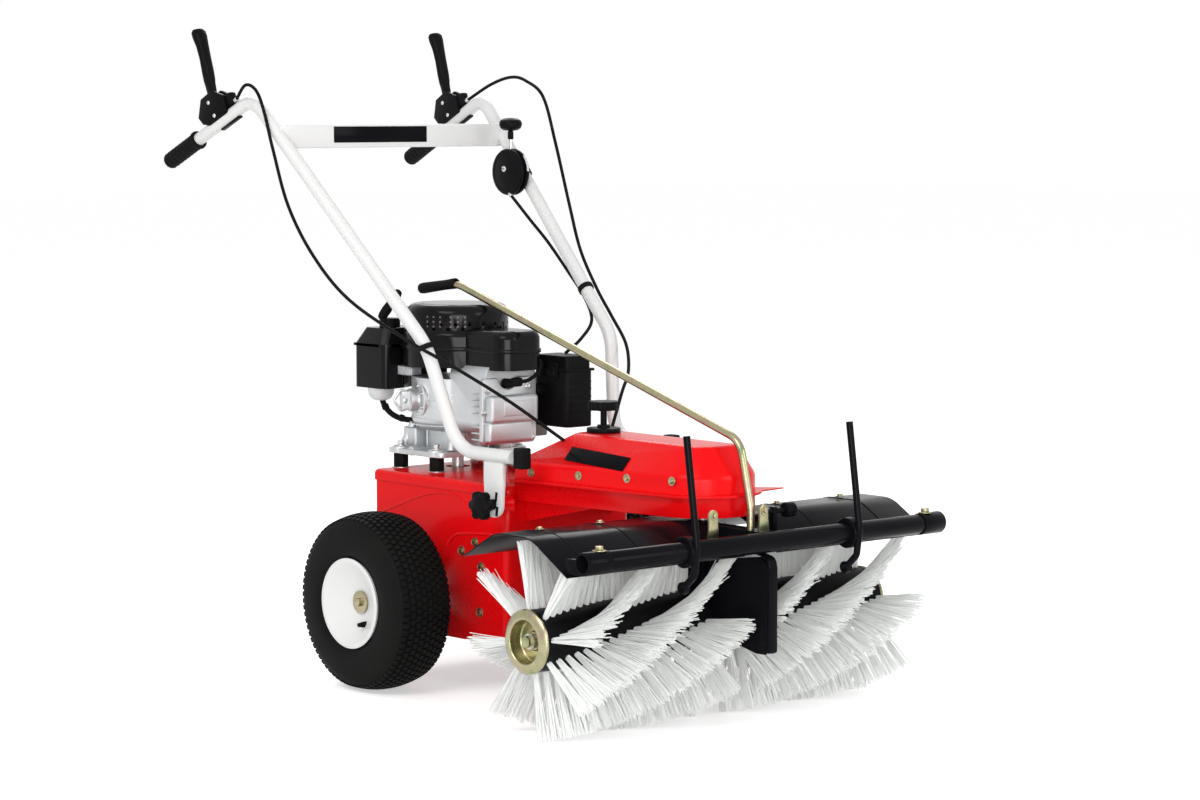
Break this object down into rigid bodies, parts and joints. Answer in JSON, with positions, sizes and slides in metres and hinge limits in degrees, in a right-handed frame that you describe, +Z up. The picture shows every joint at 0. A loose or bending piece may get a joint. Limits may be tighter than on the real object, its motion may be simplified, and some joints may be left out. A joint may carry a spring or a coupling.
{
  "type": "power brush sweeper",
  "caption": "Walk-behind power brush sweeper: engine on a two-wheeled red chassis, belt boom, swivelling roller brush under a hood, and a handlebar with clutch levers.",
  "frame": {"origin": "on the ground under the middle of the machine's overall length and width", "axes": "+X forward from the handlebar to the brush, +Y to the machine's left, +Z up"},
  "size_m": [1.4292, 0.87, 1.2242],
  "materials": {
    "tyre": "matt black turf tyre",
    "white_paint": "gloss white",
    "red_paint": "gloss red",
    "black_paint": "gloss black",
    "yellow_zinc": "yellow zinc plate",
    "steel": "machined",
    "casting": "sand cast",
    "black_plastic": "fine grain",
    "grey_plastic": "light grey",
    "rubber": "matt black",
    "muffler_steel": "heat dulled",
    "bristle": "clear white filament"
  },
  "bodies": {
    "chassis": {"chassis_body": "red_paint", "deck_lid": "red_paint", "axle_gearbox": "casting", "boom_trough": "red_paint", "belt_cover": "red_paint", "cover_screws": "yellow_zinc", "handlebar_brackets": "red_paint", "swivel_spigot": "steel", "engine_mounts": "rubber", "crankcase": "casting", "cylinder_head": "casting", "engine_shroud": "black_plastic", "recoil_cowl": "black_plastic", "fuel_tank": "black_plastic", "air_cleaner": "black_plastic", "muffler": "muffler_steel", "brush_belt": "rubber", "axle_belt": "rubber", "adjuster_base": "black_plastic"},
    "engine_shaft": {"crankshaft": "steel"},
    "axle_drive": {"axle_pulley": "steel"},
    "right_wheel": {"right_tyre": "tyre", "right_rim": "white_paint", "right_hub_cap": "yellow_zinc", "right_half_axle": "steel"},
    "left_wheel": {"left_tyre": "tyre", "left_rim": "white_paint", "left_hub_cap": "yellow_zinc", "left_half_axle": "steel"},
    "starter": {"starter_grip": "rubber"},
    "tank_cap": {"fuel_cap": "black_plastic"},
    "filler_cap": {"oil_cap": "grey_plastic"},
    "adjuster": {"adjuster_handwheel": "black_plastic"},
    "brush_head": {"swivel_collar": "black_paint", "front_tube": "black_paint", "right_hood": "black_paint", "left_hood": "black_paint", "hood_brackets": "black_paint", "brush_gearbox": "black_paint", "gearbox_guard": "black_paint"},
    "steering_lever": {"swivel_lever": "yellow_zinc", "swivel_lever_grip": "rubber"},
    "right_hook": {"right_hook": "black_paint"},
    "left_hook": {"left_hook": "black_paint"},
    "upright_shaft": {"drive_shaft": "steel"},
    "brush": {"brush_shaft": "steel", "brush_core": "black_plastic", "brush_discs": "yellow_zinc", "right_bristles": "bristle", "left_bristles": "bristle"},
    "handlebar": {"handlebar_frame": "white_paint", "hand_grips": "rubber", "lever_mounts": "black_plastic", "throttle_housing": "black_plastic", "control_cables": "rubber"},
    "right_clutch": {"right_clutch_lever": "black_plastic"},
    "left_clutch": {"left_clutch_lever": "black_plastic"},
    "throttle": {"throttle_lever": "black_plastic"},
    "right_knob": {"right_star_knob": "black_plastic"},
    "left_knob": {"left_star_knob": "black_plastic"}
  },
  "joints": [
    {"name": "right_wheel_spin", "type": "hinge", "parent": "chassis", "child": "right_wheel", "pos_m": [-0.072, -0.28, 0.165], "axis": [0, 1, 0], "continuous": true},
    {"name": "left_wheel_spin", "type": "hinge", "parent": "chassis", "child": "left_wheel", "pos_m": [-0.072, 0.28, 0.165], "axis": [0, 1, 0], "continuous": true},
    {"name": "engine_shaft_spin", "type": "hinge", "parent": "chassis", "child": "engine_shaft", "pos_m": [-0.177, 0, 0.373], "axis": [0, 0, 1], "continuous": true},
    {"name": "axle_drive_spin", "type": "hinge", "parent": "chassis", "child": "axle_drive", "pos_m": [-0.042, 0, 0.351], "axis": [0, 0, 1], "continuous": true},
    {"name": "brush_swivel", "type": "hinge", "parent": "chassis", "child": "brush_head", "pos_m": [0.511, 0, 0.326], "axis": [0, 0, 1], "range_deg": [-15, 15]},
    {"name": "brush_spin", "type": "hinge", "parent": "brush_head", "child": "brush", "pos_m": [0.511, 0, 0.172], "axis": [0, 1, 0], "continuous": true},
    {"name": "upright_shaft_spin", "type": "hinge", "parent": "chassis", "child": "upright_shaft", "pos_m": [0.511, 0, 0.33], "axis": [0, 0, 1], "continuous": true},
    {"name": "handlebar_tilt", "type": "hinge", "parent": "chassis", "child": "handlebar", "pos_m": [0.166, 0, 0.358], "axis": [0, 1, 0], "range_deg": [-10, 10], "deforming": ["control_cables"]},
    {"name": "right_clutch_squeeze", "type": "hinge", "parent": "handlebar", "child": "right_clutch", "pos_m": [-0.56352, -0.28959, 1.0812], "axis": [0.0634, -0.998, 0], "range_deg": [0, 88], "stiffness_Nm_per_rad": 0.6},
    {"name": "left_clutch_squeeze", "type": "hinge", "parent": "handlebar", "child": "left_clutch", "pos_m": [-0.56352, 0.28959, 1.0812], "axis": [-0.0634, -0.998, 0], "range_deg": [0, 88], "stiffness_Nm_per_rad": 0.6},
    {"name": "throttle_swing", "type": "hinge", "parent": "handlebar", "child": "throttle", "pos_m": [-0.29776, 0.23389, 0.94468], "axis": [0, 1, 0], "range_deg": [-18, 42]},
    {"name": "right_knob_turn", "type": "hinge", "parent": "chassis", "child": "right_knob", "pos_m": [0.166, -0.215, 0.358], "axis": [0, 1, 0], "continuous": true},
    {"name": "left_knob_turn", "type": "hinge", "parent": "chassis", "child": "left_knob", "pos_m": [0.166, 0.215, 0.358], "axis": [0, 1, 0], "continuous": true},
    {"name": "adjuster_turn", "type": "hinge", "parent": "chassis", "child": "adjuster", "pos_m": [0.248, 0, 0.5], "axis": [0, 0, 1], "continuous": true},
    {"name": "tank_cap_turn", "type": "hinge", "parent": "chassis", "child": "tank_cap", "pos_m": [-0.301, -0.067, 0.655], "axis": [0, 0, 1], "range_deg": [0, 90]},
    {"name": "filler_cap_turn", "type": "hinge", "parent": "chassis", "child": "filler_cap", "pos_m": [-0.19463, -0.09803, 0.51772], "axis": [-0.3584, -0.9336, 0], "range_deg": [0, 90]},
    {"name": "right_hook_swing", "type": "hinge", "parent": "brush_head", "child": "right_hook", "pos_m": [0.682, -0.195, 0.324], "axis": [0, -1, 0], "range_deg": [0, 50]},
    {"name": "left_hook_swing", "type": "hinge", "parent": "brush_head", "child": "left_hook", "pos_m": [0.682, 0.195, 0.324], "axis": [0, -1, 0], "range_deg": [0, 50]},
    {"name": "steering_lever_lift", "type": "slide", "parent": "brush_head", "child": "steering_lever", "axis": [0, 0, 1], "range_m": [0, 0.012]},
    {"name": "starter_pull", "type": "slide", "parent": "chassis", "child": "starter", "axis": [-1, 0, 0], "range_m": [0, 0.12], "stiffness_N_per_m": 40}
  ],
  "couplings": [
    {"joint": "upright_shaft_spin", "follows": "brush_spin", "ratio": -2.5385}
  ]
}
